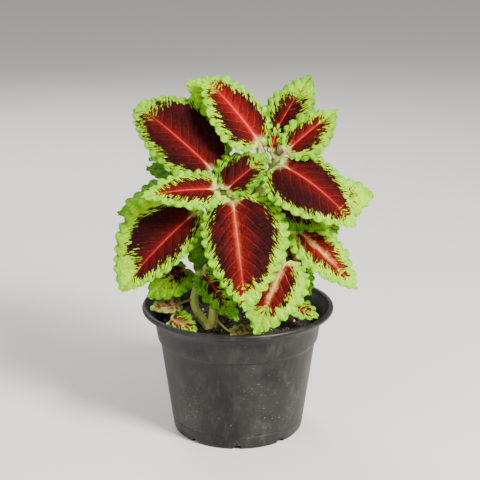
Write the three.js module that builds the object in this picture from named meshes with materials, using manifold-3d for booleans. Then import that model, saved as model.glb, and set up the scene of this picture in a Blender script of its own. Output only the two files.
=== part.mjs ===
// Potted coleus: a bushy two-stemmed plant in a round plastic nursery pot.
// Millimetres, +Z up. The origin is the centre of the pot's flat underside.
import * as THREE from 'three';
import { mergeVertices } from 'three/addons/utils/BufferGeometryUtils.js';
import Module from 'manifold-3d';

const wasm = await Module();
wasm.setup();

// Pot
const potHeight = 88;
const baseRadius = 44.5;
const footRound = 1.5;
const stepHeight = 63.5;
const stepRadius = 53;
const collarHeight = 66;
const collarRadius = 54.9;
const flareHeight = 78;
const flareRadius = 56.6;
const flareStep = 2;
const rimRadius = 65;
const rimWidth = 3.5;
const rimHeight = 4;
const wall = 1.4;
const floorThickness = 1.6;
const potSides = 64;
const drainCount = 9;
const drainWidth = 6.5;
const drainHeight = 3;

// Soil and roots
const soilHeight = 73;
const soilCrown = 1.5;
const rootDepth = 15;
const rootPlace = [-18, -11];
const rootMargin = 2;
const gap = 0.3;

// Leaves and stems
const bladeThickness = 0.8;
const stalkRadius = 1.1;
const stalkClearance = 0.9;
const bladeRows = 8;
const bladeColumns = 4;
const bladeEnd = 0.02;
const seatAlong = 0.1;
const stalkRise = 0.6;
const stalkLeave = 0.4;
const stalkArrive = 0.35;
const baseRound = 0.5;
const usualPoint = 0.3;
const marginCurl = 0.2;
const lobeLength = 0.07;
const lobeReach = 0.12;
const stalkSteps = 5;
const stalkSides = 5;
const stemSides = 8;
const stemSteps = 16;

const colours = {
  pot: { color: 0x3a3c40, roughness: 0.55, metalness: 0 },
  soil: { color: 0x2b211b, roughness: 0.95, metalness: 0 },
  stem: { color: 0x9fb65a, roughness: 0.6, metalness: 0 },
  leaf: { color: 0x8a2630, roughness: 0.6, metalness: 0 },
  shaded: { color: 0x3f7a22, roughness: 0.65, metalness: 0 },
  withered: { color: 0xb08d5c, roughness: 0.8, metalness: 0 },
};

// The two branches of the stem, root to tip
const stemRoutes = {
  left: {
    radius: 2.4,
    points: [
      [-19, -11, 58], [-21, -11, 74], [-29, -9, 89], [-27, -5, 105], [-21, 0, 135], [-16, 2, 158],
      [-14, 0, 172],
    ],
  },
  right: {
    radius: 2.8,
    points: [
      [-17, -11, 58], [-17, -10, 74], [-15, -8, 92], [-8, -2, 115], [6, 3, 145], [20, 3, 172], [26, 1, 189],
    ],
  },
};

// Each leaf: the blade's base, the way its midrib runs and the way its upper face looks (azimuth and
// elevation in degrees), length and width, where it is widest, how far it droops and folds along the
// midrib, how much wider its right half is, and where its stalk leaves the stem
const leaves = {
  leaf_left_upper: { node: ['left', 166], at: [-17, -3, 181], toward: [156, 35], face: [-82, 35],
    size: [67, 54], widest: 0.69, point: 0, droop: 30, fold: 8, skew: 0.2 },
  leaf_crown_left: { node: ['right', 184], at: [13, 0, 200], toward: [154, 44], face: [-75, 40],
    size: [55, 39], widest: 0.6, point: 0.2, droop: 30, fold: 8, skew: -0.05 },
  leaf_crown_rear: { node: ['right', 176], at: [3, 18, 217], toward: [164, 24], face: [-85, 45],
    size: [42, 36], widest: 0.7, point: 0.3, droop: 25, fold: 6 },
  leaf_crown_shaded: { node: ['right', 166], at: [-4, 24, 206], toward: [165, 22], face: [-85, 50],
    size: [38, 34], widest: 0.65, droop: 30, fold: 6, finish: 'shaded' },
  leaf_crown_right: { node: ['right', 186], at: [21, 16, 195], toward: [27, 54], face: [-105, 32],
    size: [53, 36], widest: 0.7, point: 0.3, droop: 20, fold: 12, skew: 0.1 },
  leaf_right_upper: { node: ['right', 187], at: [33, -2, 194], toward: [17, 36], face: [-95, 45],
    size: [42, 33], widest: 0.65, point: 0.5, droop: 15, fold: 12, skew: 0.1 },
  leaf_centre_small: { node: ['left', 169], at: [-7, -17, 171], toward: [24, 34], face: [-100, 50],
    size: [36, 35], widest: 0.62, point: 0.4, droop: 10, fold: 15, skew: -0.15 },
  leaf_right_large: { node: ['right', 181], at: [29, -9, 185], toward: [-24, -35], face: [-75, 45],
    size: [62, 50], widest: 0.55, point: 0.3, droop: 45, fold: 8, skew: 0.12 },
  leaf_right_rear: { node: ['right', 172], at: [53, 15, 164], toward: [7, -8], face: [-70, 35],
    size: [40, 34], widest: 0.7, droop: 35, fold: 8, skew: 0.45 },
  leaf_front_large: { node: ['left', 162], at: [-3, -22, 164], toward: [-74, -65], face: [-90, 30],
    size: [71, 56], widest: 0.62, point: 0.35, droop: 35, fold: 10, skew: -0.19 },
  leaf_front_low: { node: ['right', 110], at: [31, -25, 124], toward: [-131, -55], face: [-100, 30],
    size: [51, 42], widest: 0.6, droop: 30, fold: 8 },
  leaf_right_low: { node: ['right', 140], at: [40, -10, 141], toward: [-22, -41], face: [-75, 40],
    size: [54, 32], widest: 0.62, droop: 25, fold: 10 },
  leaf_right_inner: { node: ['right', 132], at: [31, -3, 139], toward: [-34, -63], face: [-85, 25],
    size: [46, 24], widest: 0.6, droop: 20, fold: 10 },
  leaf_right_under: { node: ['right', 152], at: [22, 2, 158], toward: [-15, -22], face: [-80, 40],
    size: [42, 30], widest: 0.6, droop: 25, fold: 8 },
  leaf_pot_right: { node: ['right', 95], at: [33, -15, 91], toward: [-12, -18], face: [-85, 60],
    size: [22, 17], widest: 0.8, droop: 20, fold: 5, skew: -0.15 },
  leaf_left_small: { node: ['left', 168], at: [-15, -21, 172], toward: [-162, -2], face: [-85, 45],
    size: [49, 30], widest: 0.5, point: 0.5, droop: 25, fold: 10 },
  leaf_left_large: { node: ['left', 144], at: [-28, -12, 154], toward: [-159, -43], face: [-110, 25],
    size: [70, 52], widest: 0.7, point: 0.2, droop: 30, fold: 12, skew: 0.3 },
  leaf_left_rear: { node: ['left', 150], at: [-25, 6, 164], toward: [178, -16], face: [-100, 55],
    size: [58, 42], widest: 0.6, droop: 30, fold: 8, finish: 'shaded' },
  leaf_left_tucked: { node: ['left', 160], at: [-24, 10, 174], toward: [174, 6], face: [-100, 55],
    size: [38, 28], widest: 0.6, droop: 25, fold: 8, finish: 'shaded' },
  leaf_centre_shaded: { node: ['left', 130], at: [-16, -7, 144], toward: [-115, -82], face: [-100, 12],
    size: [40, 36], widest: 0.6, droop: 20, fold: 10, finish: 'shaded' },
  leaf_low_dark: { node: ['left', 106], at: [-23, -23, 117], toward: [-38, -43], face: [-100, 25],
    size: [40, 21], widest: 0.6, droop: 20, fold: 10, finish: 'shaded' },
  leaf_low_left: { node: ['left', 108], at: [-35, -7, 114], toward: [-160, -35], face: [-100, 55],
    size: [31, 34], widest: 0.6, droop: 40, fold: 10, finish: 'shaded' },
  leaf_wilted: { node: ['left', 92], at: [-39, -12, 91], toward: [-165, -5], face: [-100, 50],
    size: [20, 15], widest: 0.6, droop: 30, fold: 15, finish: 'withered' },
  leaf_pot_left: { node: ['left', 80], at: [-44, -20, 83], toward: [-35, -10], face: [-100, 45],
    size: [21, 17], widest: 0.6, droop: 30, fold: 10 },
  leaf_dry: { node: ['right', 78], at: [-4, -28, 77], toward: [10, 0], face: [-100, 60], size: [17, 10],
    widest: 0.6, droop: 30, fold: 10, finish: 'withered' },
  leaf_crown_young: { node: ['right', 187.5], at: [22, -3, 194], toward: [55, 62], face: [-100, 28],
    size: [18, 8], widest: 0.6, droop: 5, fold: 30 },
  leaf_back_crown: { node: ['right', 180], at: [14, 26, 196], toward: [118, 30], face: [92, 42],
    size: [46, 35], widest: 0.68, droop: 30, fold: 8 },
  leaf_back_high: { node: ['right', 184], at: [31, 13, 191], toward: [72, 28], face: [80, 45],
    size: [48, 35], widest: 0.65, droop: 35, fold: 10 },
  leaf_back_left: { node: ['left', 154], at: [-23, 27, 168], toward: [134, 4], face: [104, 45],
    size: [58, 45], widest: 0.65, droop: 40, fold: 8 },
  leaf_back_middle: { node: ['right', 160], at: [12, 23, 171], toward: [100, -48], face: [92, 35],
    size: [62, 50], widest: 0.62, droop: 38, fold: 8 },
  leaf_back_right: { node: ['right', 150], at: [36, 20, 154], toward: [34, -40], face: [72, 35],
    size: [52, 40], widest: 0.65, droop: 35, fold: 8 },
  leaf_back_low_left: { node: ['left', 130], at: [-32, 16, 138], toward: [152, -45], face: [112, 32],
    size: [58, 43], widest: 0.65, droop: 35, fold: 8 },
  leaf_back_low: { node: ['right', 122], at: [4, 20, 122], toward: [82, -55], face: [90, 25], size: [46, 36],
    widest: 0.62, droop: 35, fold: 8 },
  leaf_back_low_right: { node: ['right', 112], at: [26, 16, 116], toward: [38, -35], face: [60, 40],
    size: [40, 30], widest: 0.65, droop: 35, fold: 8 },
  leaf_inner_shaded: { node: ['right', 154], at: [-4, 11, 158], toward: [110, 72], face: [-80, 18],
    size: [30, 30], widest: 0.6, droop: 25, fold: 8, finish: 'shaded' },
};

// Buds at the growing tips: centre, radius and height
const buds = {
  bud_left: { at: [-13, -0.5, 173.5], radius: 2, height: 6 },
  bud_right: { at: [27, 0.5, 190.5], radius: 2.2, height: 7 },
};

const budOutline = [[0, 0], [0.7, 0.12], [1, 0.4], [0.6, 0.75], [0, 1]];
const budSides = 10;

const finishes = {};
for (const [name, values] of Object.entries(colours)) {
  finishes[name] = new THREE.MeshStandardMaterial(values);
}

function toSolid(geometry) {
  const bare = geometry.clone();
  for (const name of Object.keys(bare.attributes)) {
    if (name !== 'position') bare.deleteAttribute(name);
  }
  const merged = mergeVertices(bare, 1e-4);
  const vertProperties = new Float32Array(merged.attributes.position.array);
  const triVerts = new Uint32Array(merged.index.array);
  return new wasm.Manifold(new wasm.Mesh({ numProp: 3, vertProperties, triVerts }));
}

function toGeometry(solid) {
  const mesh = solid.getMesh();
  const geometry = new THREE.BufferGeometry();
  geometry.setAttribute('position', new THREE.BufferAttribute(new Float32Array(mesh.vertProperties), 3));
  geometry.setIndex(new THREE.BufferAttribute(new Uint32Array(mesh.triVerts), 1));
  geometry.computeVertexNormals();
  return geometry;
}

function join(solids) {
  return solids.reduce((whole, solid) => whole.add(solid));
}

function lathe(outline, sides) {
  const points = outline.map(([radius, height]) => new THREE.Vector2(radius, height));
  return new THREE.LatheGeometry(points, sides).rotateX(Math.PI / 2);
}

function direction([azimuth, elevation]) {
  const around = THREE.MathUtils.degToRad(azimuth);
  const up = THREE.MathUtils.degToRad(elevation);
  return new THREE.Vector3(Math.cos(around) * Math.cos(up), Math.sin(around) * Math.cos(up), Math.sin(up));
}

function tube(curve, radius, sides, steps) {
  const section = new THREE.Shape();
  for (let i = 0; i < sides; i += 1) {
    const angle = (2 * Math.PI * i) / sides;
    const [x, y] = [radius * Math.cos(angle), radius * Math.sin(angle)];
    if (i === 0) section.moveTo(x, y);
    else section.lineTo(x, y);
  }
  section.closePath();
  return new THREE.ExtrudeGeometry(section, { steps, extrudePath: curve, bevelEnabled: false });
}

// Pot: a tapered wall, a stepped collar and a thick rolled rim, with drain slots round the foot

function innerRadius(height) {
  if (height > collarHeight) {
    return THREE.MathUtils.mapLinear(height, collarHeight, flareHeight, collarRadius, flareRadius) - wall;
  }
  return THREE.MathUtils.mapLinear(height, 0, stepHeight, baseRadius, stepRadius) - wall;
}

function makePot() {
  const collarTop = potHeight - rimHeight;
  const rise = wall / 2;
  const outline = [
    [0, 0],
    [baseRadius - footRound, 0],
    [baseRadius + 0.1, footRound],
    [stepRadius, stepHeight],
    [collarRadius, collarHeight],
    [flareRadius, flareHeight],
    [flareRadius + flareStep, flareHeight + flareStep],
    [rimRadius - rimWidth, collarTop],
    [rimRadius - 1, collarTop],
    [rimRadius, collarTop + 1],
    [rimRadius, potHeight - 1],
    [rimRadius - 1, potHeight],
    [rimRadius - rimWidth + 1, potHeight],
    [rimRadius - rimWidth, potHeight - 1],
    [rimRadius - rimWidth - wall, collarTop],
    [flareRadius + flareStep - wall, flareHeight + flareStep + rise],
    [innerRadius(flareHeight), flareHeight + rise],
    [innerRadius(collarHeight + 0.1), collarHeight + 0.1],
    [innerRadius(stepHeight), stepHeight],
    [innerRadius(floorThickness), floorThickness],
    [0, floorThickness],
  ];
  let pot = toSolid(lathe(outline, potSides));
  const slotDepth = 8;
  for (let i = 0; i < drainCount; i += 1) {
    const angle = -Math.PI / 2 + (2 * Math.PI * i) / drainCount;
    const slot = new THREE.BoxGeometry(slotDepth, drainWidth, 2 * drainHeight);
    slot.translate(baseRadius, 0, 0);
    slot.rotateZ(angle);
    pot = pot.subtract(toSolid(slot));
  }
  return toGeometry(pot);
}

// Stem: two branches that leave the soil together

const stemCurves = {};
for (const [name, route] of Object.entries(stemRoutes)) {
  stemCurves[name] = new THREE.CatmullRomCurve3(route.points.map((point) => new THREE.Vector3(...point)));
}

function stemSolid(extra) {
  return join(Object.entries(stemRoutes).map(([name, route]) => (
    toSolid(tube(stemCurves[name], route.radius + extra, stemSides, stemSteps))
  )));
}

function stemPoint(name, height) {
  const curve = stemCurves[name];
  let [low, high] = [0, 1];
  for (let i = 0; i < 30; i += 1) {
    const middle = (low + high) / 2;
    if (curve.getPoint(middle).z < height) low = middle;
    else high = middle;
  }
  return curve.getPoint(low);
}

// Soil: fills the pot to just under the collar's top, with the stem rooted in it

function makeSoil() {
  const bottom = floorThickness + gap;
  const outline = [
    [0, bottom],
    [innerRadius(bottom) - gap, bottom],
    [innerRadius(stepHeight) - gap, stepHeight],
    [innerRadius(collarHeight + 0.1) - gap, collarHeight + 0.1],
    [innerRadius(soilHeight) - 2 * gap, soilHeight - soilCrown],
    [innerRadius(soilHeight) / 2, soilHeight - soilCrown / 3],
    [0, soilHeight],
  ];
  const rootLow = new THREE.Vector3(...rootPlace, soilHeight - rootDepth - gap);
  const rootHigh = new THREE.Vector3(...rootPlace, soilHeight - rootDepth + rootMargin);
  const rootLine = new THREE.LineCurve3(rootLow, rootHigh);
  const root = tube(rootLine, stemRoutes.left.radius + rootMargin, stemSides, 1);
  return toGeometry(toSolid(lathe(outline, potSides / 2)).subtract(stemSolid(gap)).subtract(toSolid(root)));
}

// Leaf: a drooping, folded blade with a stalk under its base

function bladePoint(leaf, side, along) {
  const { size: [length, width], widest, point = usualPoint, droop, fold, skew = 0 } = leaf;
  const start = THREE.MathUtils.degToRad(droop) / 2;
  const slope = start * (1 - 2 * along);
  const bendRadius = length / 2 / Math.sin(start);
  const bulge = Math.sin(Math.PI * along ** widest) ** (baseRound + point * along);
  const half = (width / 2) * bulge * (1 + skew * Math.sign(side));
  const across = side * half;
  const tilt = THREE.MathUtils.degToRad(fold);
  const lift = Math.abs(across) * Math.sin(tilt) - marginCurl * half * side * side;
  const lobe = lobeLength * length * side * side * Math.exp(-along / lobeReach);
  const arcForward = bendRadius * (Math.sin(start) - Math.sin(slope));
  const arcRise = bendRadius * (Math.cos(slope) - Math.cos(start));
  const forward = arcForward - Math.sin(slope) * lift - Math.cos(slope) * lobe;
  const rise = arcRise + Math.cos(slope) * lift - Math.sin(slope) * lobe;
  return { local: [across * Math.cos(tilt), forward, rise], slope };
}

function leafAxes(leaf) {
  const forward = direction(leaf.toward);
  const normal = direction(leaf.face);
  normal.addScaledVector(forward, -normal.dot(forward)).normalize();
  const across = new THREE.Vector3().crossVectors(forward, normal);
  return new THREE.Matrix4().makeBasis(across, forward, normal).setPosition(...leaf.at);
}

function makeBlade(leaf, thickness) {
  const place = leafAxes(leaf);
  const positions = [];
  for (const face of [1, -1]) {
    for (let row = 0; row <= bladeRows; row += 1) {
      const along = bladeEnd + ((1 - 2 * bladeEnd) * row) / bladeRows;
      for (let column = 0; column <= bladeColumns; column += 1) {
        const { local: [x, y, z], slope } = bladePoint(leaf, -1 + (2 * column) / bladeColumns, along);
        const offset = (face * thickness) / 2;
        const point = new THREE.Vector3(x, y - Math.sin(slope) * offset, z + Math.cos(slope) * offset);
        positions.push(...point.applyMatrix4(place).toArray());
      }
    }
  }
  const stride = bladeColumns + 1;
  const back = stride * (bladeRows + 1);
  const index = [];
  const quad = (a, b, c, d) => index.push(a, b, c, a, c, d);
  for (let row = 0; row < bladeRows; row += 1) {
    for (let column = 0; column < bladeColumns; column += 1) {
      const a = row * stride + column;
      quad(a, a + 1, a + stride + 1, a + stride);
      quad(back + a, back + a + stride, back + a + stride + 1, back + a + 1);
    }
    const left = row * stride;
    const right = left + bladeColumns;
    quad(left, left + stride, back + left + stride, back + left);
    quad(right, back + right, back + right + stride, right + stride);
  }
  for (let column = 0; column < bladeColumns; column += 1) {
    const top = bladeRows * stride + column;
    quad(column, back + column, back + column + 1, column + 1);
    quad(top, top + 1, back + top + 1, back + top);
  }
  const geometry = new THREE.BufferGeometry();
  geometry.setAttribute('position', new THREE.Float32BufferAttribute(positions, 3));
  geometry.setIndex(index);
  return geometry;
}

function stalkCurve(leaf) {
  const place = leafAxes(leaf);
  const [stemName, height] = leaf.node;
  const root = stemPoint(stemName, height);
  const base = new THREE.Vector3(...leaf.at);
  const outward = base.clone().sub(root).setZ(0).normalize();
  const standoff = stemRoutes[stemName].radius + stalkRadius + stalkClearance;
  const start = root.clone().addScaledVector(outward, standoff);
  const reach = start.distanceTo(base);
  const seat = new THREE.Vector3(...bladePoint(leaf, 0, seatAlong).local).applyMatrix4(place);
  const arrival = seat.clone().sub(base).normalize();
  const leaving = outward.clone().setZ(stalkRise).normalize();
  return new THREE.CubicBezierCurve3(
    start,
    start.clone().addScaledVector(leaving, stalkLeave * reach),
    base.clone().addScaledVector(arrival, -stalkArrive * reach),
    seat,
  );
}

function makeLeaf(leaf) {
  const stalk = tube(stalkCurve(leaf), stalkRadius, stalkSides, stalkSteps);
  return toGeometry(join([toSolid(makeBlade(leaf, bladeThickness)), toSolid(stalk)]));
}

function makeBud({ at, radius, height }) {
  const outline = budOutline.map(([out, up]) => [out * radius, up * height]);
  return lathe(outline, budSides).translate(...at);
}

const plant = new THREE.Group();

function addPiece(name, geometry, finish) {
  const mesh = new THREE.Mesh(geometry, finishes[finish]);
  mesh.name = name;
  plant.add(mesh);
}

addPiece('pot', makePot(), 'pot');
addPiece('soil', makeSoil(), 'soil');
addPiece('stem', toGeometry(stemSolid(0)), 'stem');
for (const [name, leaf] of Object.entries(leaves)) {
  addPiece(name, makeLeaf(leaf), leaf.finish ?? 'leaf');
}
for (const [name, bud] of Object.entries(buds)) {
  addPiece(name, makeBud(bud), 'stem');
}

export default plant;
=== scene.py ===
import math

import bmesh
import bpy
from mathutils import Matrix, Vector


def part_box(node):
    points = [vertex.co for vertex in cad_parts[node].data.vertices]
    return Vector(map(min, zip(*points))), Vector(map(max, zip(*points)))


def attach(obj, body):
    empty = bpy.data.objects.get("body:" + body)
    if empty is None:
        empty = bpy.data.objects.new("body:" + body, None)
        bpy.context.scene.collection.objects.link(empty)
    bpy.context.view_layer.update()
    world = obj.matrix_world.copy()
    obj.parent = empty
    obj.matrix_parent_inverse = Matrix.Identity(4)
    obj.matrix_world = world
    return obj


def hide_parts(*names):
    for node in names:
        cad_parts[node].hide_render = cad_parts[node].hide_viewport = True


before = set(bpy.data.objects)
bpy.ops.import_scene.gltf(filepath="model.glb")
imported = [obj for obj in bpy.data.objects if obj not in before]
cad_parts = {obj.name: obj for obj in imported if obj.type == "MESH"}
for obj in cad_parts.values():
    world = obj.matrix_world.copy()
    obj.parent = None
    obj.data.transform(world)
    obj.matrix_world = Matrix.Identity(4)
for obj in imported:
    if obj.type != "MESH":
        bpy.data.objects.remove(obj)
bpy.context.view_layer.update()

mm = 0.001


# Camera

cameraSettings = {
    "focalLength": 82.5,
    "sensorWidth": 36,
    "distance": 736.5 * mm,
    "elevation": 15.9,
    "aim": (1.5 * mm, 0, 132 * mm),
}


def addCamera():
    data = bpy.data.cameras.new("camera")
    data.lens = cameraSettings["focalLength"]
    data.sensor_width = cameraSettings["sensorWidth"]
    camera = bpy.data.objects.new("camera", data)
    bpy.context.collection.objects.link(camera)
    up = math.radians(cameraSettings["elevation"])
    aim = Vector(cameraSettings["aim"])
    camera.location = aim + cameraSettings["distance"] * Vector((0, -math.cos(up), math.sin(up)))
    camera.rotation_euler = (math.pi / 2 - up, 0, 0)
    bpy.context.scene.camera = camera


addCamera()
print("camera placed")


# Small helpers for node trees, shared by geometry and shader trees

def feed(tree, socket, value):
    if value is None:
        return
    if isinstance(value, bpy.types.NodeSocket):
        tree.links.new(value, socket)
    else:
        socket.default_value = value


class Nodes:
    def __init__(self, tree):
        self.tree = tree

    def add(self, kind, output=0, settings=None, **inputs):
        node = self.tree.nodes.new(kind)
        for name, value in (settings or {}).items():
            setattr(node, name, value)
        for name, value in inputs.items():
            feed(self.tree, node.inputs[name.replace("_", " ")], value)
        return node.outputs[output]

    def maths(self, operation, *values, clamp=False):
        node = self.tree.nodes.new("ShaderNodeMath")
        node.operation = operation
        node.use_clamp = clamp
        for socket, value in zip(node.inputs, values):
            feed(self.tree, socket, value)
        return node.outputs[0]

    def plus(self, a, b):
        return self.maths("ADD", a, b)

    def minus(self, a, b):
        return self.maths("SUBTRACT", a, b)

    def times(self, a, b):
        return self.maths("MULTIPLY", a, b)

    def over(self, a, b):
        return self.maths("DIVIDE", a, b)

    def power(self, a, b):
        return self.maths("POWER", a, b)

    def sine(self, a):
        return self.maths("SINE", a)

    def cosine(self, a):
        return self.maths("COSINE", a)

    def size(self, a):
        return self.maths("ABSOLUTE", a)

    def clip(self, a):
        return self.maths("ADD", a, 0.0, clamp=True)

    def ramp(self, value, low, high, toLow=0.0, toHigh=1.0):
        node = self.tree.nodes.new("ShaderNodeMapRange")
        node.interpolation_type = "SMOOTHSTEP"
        for socket, given in zip(node.inputs, (value, low, high, toLow, toHigh)):
            feed(self.tree, socket, given)
        return node.outputs[0]

    def join(self, x, y, z):
        return self.add("ShaderNodeCombineXYZ", X=x, Y=y, Z=z)

    def split(self, vector):
        node = self.tree.nodes.new("ShaderNodeSeparateXYZ")
        feed(self.tree, node.inputs[0], vector)
        return node.outputs[0], node.outputs[1], node.outputs[2]

    def vector(self, operation, a, b=None, output=0):
        node = self.tree.nodes.new("ShaderNodeVectorMath")
        node.operation = operation
        feed(self.tree, node.inputs[0], a)
        feed(self.tree, node.inputs[1], b)
        return node.outputs[output]

    def stretch(self, vector, amount):
        node = self.tree.nodes.new("ShaderNodeVectorMath")
        node.operation = "SCALE"
        feed(self.tree, node.inputs[0], vector)
        feed(self.tree, node.inputs[3], amount)
        return node.outputs[0]

    def noise(self, vector, scale, detail=2.0, roughness=0.5):
        return self.add("ShaderNodeTexNoise", Vector=vector, Scale=scale, Detail=detail, Roughness=roughness)

    def cells(self, vector, scale, feature="F1", output=0):
        return self.add("ShaderNodeTexVoronoi", output, {"feature": feature}, Vector=vector, Scale=scale)

    def moved(self, geometry, **where):
        return self.add("GeometryNodeSetPosition", Geometry=geometry, **where)

    def blend(self, amount, first, second):
        node = self.tree.nodes.new("ShaderNodeMix")
        node.data_type = "RGBA"
        feed(self.tree, node.inputs[0], amount)
        feed(self.tree, node.inputs[6], first)
        feed(self.tree, node.inputs[7], second)
        return node.outputs[2]


def newTree(name, kind, inputs, outputs):
    tree = bpy.data.node_groups.new(name, kind)
    for label, socketKind, value in inputs:
        socket = tree.interface.new_socket(label, in_out="INPUT", socket_type="NodeSocket" + socketKind)
        if value is not None:
            socket.default_value = value
    for label, socketKind in outputs:
        tree.interface.new_socket(label, in_out="OUTPUT", socket_type="NodeSocket" + socketKind)
    given = tree.nodes.new("NodeGroupInput").outputs
    result = tree.nodes.new("NodeGroupOutput").inputs
    return tree, Nodes(tree), given, result


def newMaterial(name):
    material = bpy.data.materials.new(name)
    material.use_nodes = True
    tree = material.node_tree
    shader = tree.nodes["Principled BSDF"]
    return material, tree, Nodes(tree), shader


def useGroup(nodes, group, **values):
    node = nodes.tree.nodes.new("ShaderNodeGroup")
    node.node_tree = group
    for name, value in values.items():
        feed(nodes.tree, node.inputs[name.replace("_", " ")], value)
    return node.outputs


def addBump(tree, shader, height, strength, distance):
    bump = tree.nodes.new("ShaderNodeBump")
    bump.inputs["Strength"].default_value = strength
    bump.inputs["Distance"].default_value = distance
    feed(tree, bump.inputs["Height"], height)
    feed(tree, shader.inputs["Normal"], bump.outputs[0])


def finishTree(tree, n, given, result, geometry, smooth=True):
    if smooth:
        geometry = n.add("GeometryNodeSetShadeSmooth", Geometry=geometry)
    geometry = n.add("GeometryNodeRealizeInstances", Geometry=geometry)
    feed(tree, result["Geometry"], n.add("GeometryNodeSetMaterial", Geometry=geometry, Material=given["Material"]))
    return tree


def runTree(name, tree, values, place=None, source=None):
    # gives an object the tree as a modifier, then keeps only the finished mesh
    holder = bpy.data.objects.new(name + "Maker", source or bpy.data.meshes.new(name + "Start"))
    bpy.context.collection.objects.link(holder)
    modifier = holder.modifiers.new("shape", "NODES")
    modifier.node_group = tree
    for item in tree.interface.items_tree:
        if item.item_type == "SOCKET" and item.in_out == "INPUT" and item.name in values:
            modifier[item.identifier] = values[item.name]
    depsgraph = bpy.context.evaluated_depsgraph_get()
    mesh = bpy.data.meshes.new_from_object(holder.evaluated_get(depsgraph))
    bpy.data.objects.remove(holder)
    if place is not None:
        mesh.transform(place)
    mesh.name = name
    piece = bpy.data.objects.new(name, mesh)
    bpy.context.collection.objects.link(piece)
    return piece


def keep(piece, node=None):
    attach(piece, "root")
    if node:
        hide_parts(node)


# Leaf pattern: where the veins run and where the dark patch ends

veinLook = {
    "spacing": 7.6,      # millimetres between side veins along the midrib
    "slant": 0.78,
    "curve": 0.015,
    "sideWidth": 0.05,   # share of the spacing
    "midWidth": 0.8,
    "netScale": 0.45,    # small vein cells per millimetre
}


def makeVeinGroup():
    tree, n, given, result = newTree("leafVeins", "ShaderNodeTree",
                                     [("Across", "Float", 0), ("Along", "Float", 0), ("Seed", "Float", 0)],
                                     [("Phase", "Float"), ("Side Veins", "Float"), ("Mid Vein", "Float"),
                                      ("Net", "Float"), ("Crease Shade", "Float"), ("Height", "Float")])
    out = n.size(given["Across"])
    wander = n.noise(n.join(given["Across"], given["Along"], given["Seed"]), 0.12)
    rise = n.plus(n.times(out, veinLook["slant"]), n.times(n.times(out, out), veinLook["curve"]))
    phase = n.plus(n.over(n.minus(given["Along"], rise), veinLook["spacing"]), n.times(wander, 0.55))
    offset = n.size(n.minus(n.maths("FRACT", n.plus(phase, 100.0)), 0.5))
    fromVein = n.minus(0.5, offset)
    taper = n.ramp(out, 2.0, 26.0, 1.0, 0.35)
    side = n.times(n.ramp(fromVein, 0.0, veinLook["sideWidth"], 1.0, 0.0), taper)
    mid = n.ramp(out, 0.0, veinLook["midWidth"], 1.0, 0.0)
    flat = n.join(given["Across"], given["Along"], given["Seed"])
    jiggled = n.vector("ADD", flat, n.stretch(n.add("ShaderNodeTexNoise", "Color", None, Vector=flat, Scale=0.5,
                                                    Detail=1.0), 1.2))
    netGap = n.cells(jiggled, veinLook["netScale"], "DISTANCE_TO_EDGE")
    net = n.ramp(netGap, 0.0, 0.14, 1.0, 0.0)
    fineGap = n.cells(jiggled, 2.6 * veinLook["netScale"], "DISTANCE_TO_EDGE")
    # crease shade: a mask of painted shade for the grooves between the quilted cells, darkened in the leaf
    # material's colour
    creaseShade = n.plus(n.times(n.ramp(netGap, 0.0, 0.3, 1.0, 0.0), 0.65),
                    n.times(n.ramp(fineGap, 0.0, 0.25, 1.0, 0.0), 0.35))
    pillow = n.power(n.clip(n.times(netGap, 1.6)), 0.5)
    height = n.plus(n.times(pillow, 0.9), n.times(n.ramp(fineGap, 0.0, 0.3), 0.35))
    height = n.plus(height, n.times(n.ramp(fromVein, 0.0, 0.3), 0.7))
    height = n.plus(height, n.times(n.ramp(out, 0.2, 2.0), 0.7))
    feed(tree, result["Phase"], phase)
    feed(tree, result["Side Veins"], side)
    feed(tree, result["Mid Vein"], mid)
    feed(tree, result["Net"], net)
    feed(tree, result["Crease Shade"], creaseShade)
    feed(tree, result["Height"], height)
    return tree


patchLook = {
    "fingers": 5.2,      # millimetres that the patch's edge runs in and out along the veins
    "patches": 2.4,
    "specks": 5.6,
    "grain": 3.8,
    "speckScale": 0.95,  # speck cells per millimetre
    "dash": 0.48,        # under 1 draws the specks out along the side veins
    "softness": 0.3,
}


def makePatchGroup():
    tree, n, given, result = newTree("leafPatch", "ShaderNodeTree",
                                     [("Across", "Float", 0), ("Along", "Float", 0), ("Phase", "Float", 0),
                                      ("Edge", "Float", 0), ("Rim", "Float", 5), ("Seed", "Float", 0)],
                                     [("Dark", "Float"), ("Depth", "Float")])
    out = n.size(given["Across"])
    streakPlace = n.join(n.times(given["Phase"], 6.6), n.times(out, 0.16), given["Seed"])
    streaks = n.minus(n.noise(streakPlace, 1.0, 3.0, 0.6), 0.5)
    flat = n.join(given["Across"], given["Along"], given["Seed"])
    blotches = n.minus(n.noise(flat, 0.22, 2.0), 0.5)
    dashPlace = n.join(n.times(given["Phase"], veinLook["spacing"]), n.times(out, patchLook["dash"]),
                       given["Seed"])
    specks = n.minus(n.split(n.cells(dashPlace, patchLook["speckScale"], output="Color"))[0], 0.5)
    grain = n.minus(n.noise(flat, 1.6, 3.0, 0.7), 0.5)
    wobble = n.plus(n.times(streaks, 2.2 * patchLook["fingers"]), n.times(blotches, 2.0 * patchLook["patches"]))
    wobble = n.plus(wobble, n.times(specks, patchLook["specks"]))
    wobble = n.plus(wobble, n.times(grain, patchLook["grain"]))
    depth = n.minus(n.minus(given["Edge"], given["Rim"]), wobble)
    feed(tree, result["Dark"], n.ramp(depth, -patchLook["softness"], patchLook["softness"]))
    feed(tree, result["Depth"], n.minus(given["Edge"], given["Rim"]))
    return tree


leafVeins = makeVeinGroup()
leafPatch = makePatchGroup()

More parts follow.
